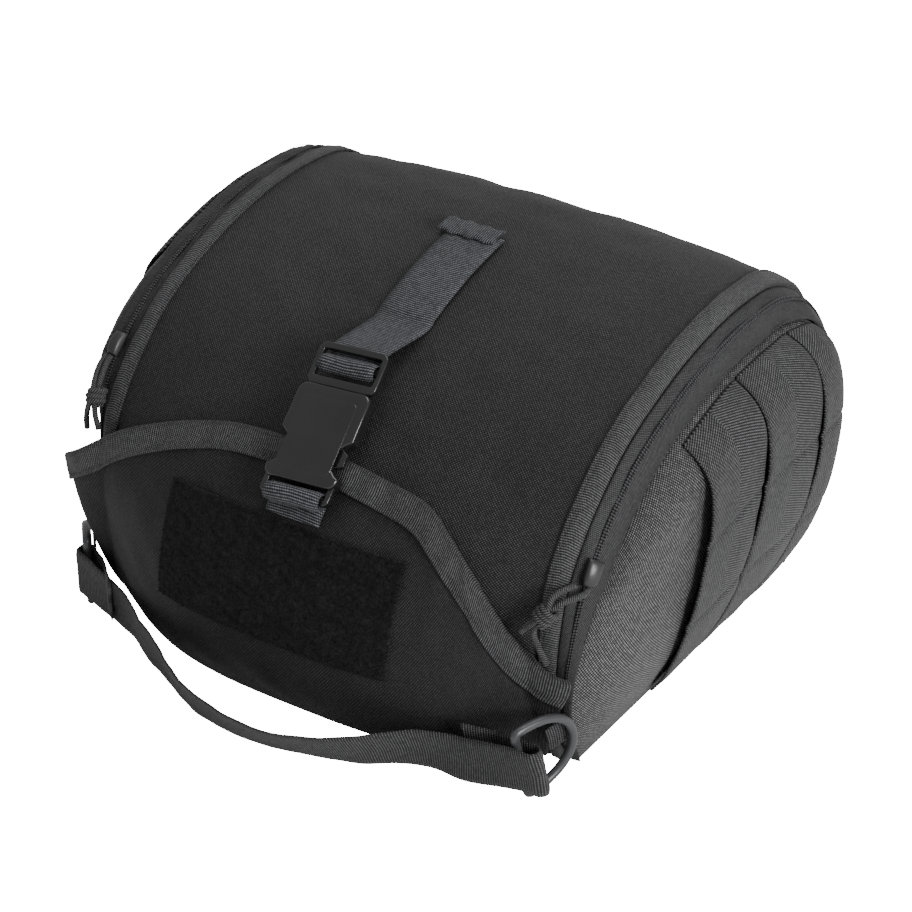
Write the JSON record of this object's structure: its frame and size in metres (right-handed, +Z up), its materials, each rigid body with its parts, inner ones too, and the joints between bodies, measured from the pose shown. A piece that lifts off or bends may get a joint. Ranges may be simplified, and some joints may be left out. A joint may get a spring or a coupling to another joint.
{
  "type": "tactical helmet bag",
  "caption": "Padded soft bag for a helmet, arched over a flat back panel, with zip-round edges, webbing bands on its ends, a buckled front flap and a carrying strap.",
  "frame": {"origin": "middle of the flat back panel, on the surface that the bag lies on", "axes": "+X towards the bag's right end panel, -Y towards the front flap and its buckle, +Z up"},
  "size_m": [0.351, 0.317, 0.1925],
  "materials": {
    "body_cloth": "coarse plain weave",
    "flap_cloth": "coarse plain weave",
    "ribbed_tape": "ribbed tape",
    "webbing": "ribbed webbing",
    "loop_pile": "fuzzy loop pile",
    "buckle_plastic": "satin moulded",
    "ring_plastic": "satin moulded",
    "zip_cord": "braided cord",
    "zip_metal": "satin black paint"
  },
  "bodies": {
    "root": {"main_panel": "body_cloth", "base_panel": "body_cloth", "end_panel_left": "body_cloth", "end_panel_right": "body_cloth", "front_flap": "flap_cloth", "flap_binding": "ribbed_tape", "loop_patch": "loop_pile", "buckle_prong": "buckle_plastic", "buckle_socket": "buckle_plastic", "closure_strap": "webbing", "closure_strap_lower": "webbing", "handle_strap": "webbing", "side_band_left_1": "webbing", "side_band_left_2": "webbing", "side_band_left_3": "webbing", "edge_binding_left": "ribbed_tape", "zipper_tape_left": "ribbed_tape", "zipper_coil_left": "ribbed_tape", "zip_slider_left": "zip_metal", "zip_cord_left": "zip_cord", "zip_knot_left": "zip_cord", "d_ring_left": "ring_plastic", "ring_tab_left": "webbing", "side_band_right_1": "webbing", "side_band_right_2": "webbing", "side_band_right_3": "webbing", "edge_binding_right": "ribbed_tape", "zipper_tape_right": "ribbed_tape", "zipper_coil_right": "ribbed_tape", "zip_slider_right": "zip_metal", "zip_cord_right": "zip_cord", "zip_knot_right": "zip_cord", "d_ring_right": "ring_plastic", "ring_tab_right": "webbing"}
  },
  "joints": []
}
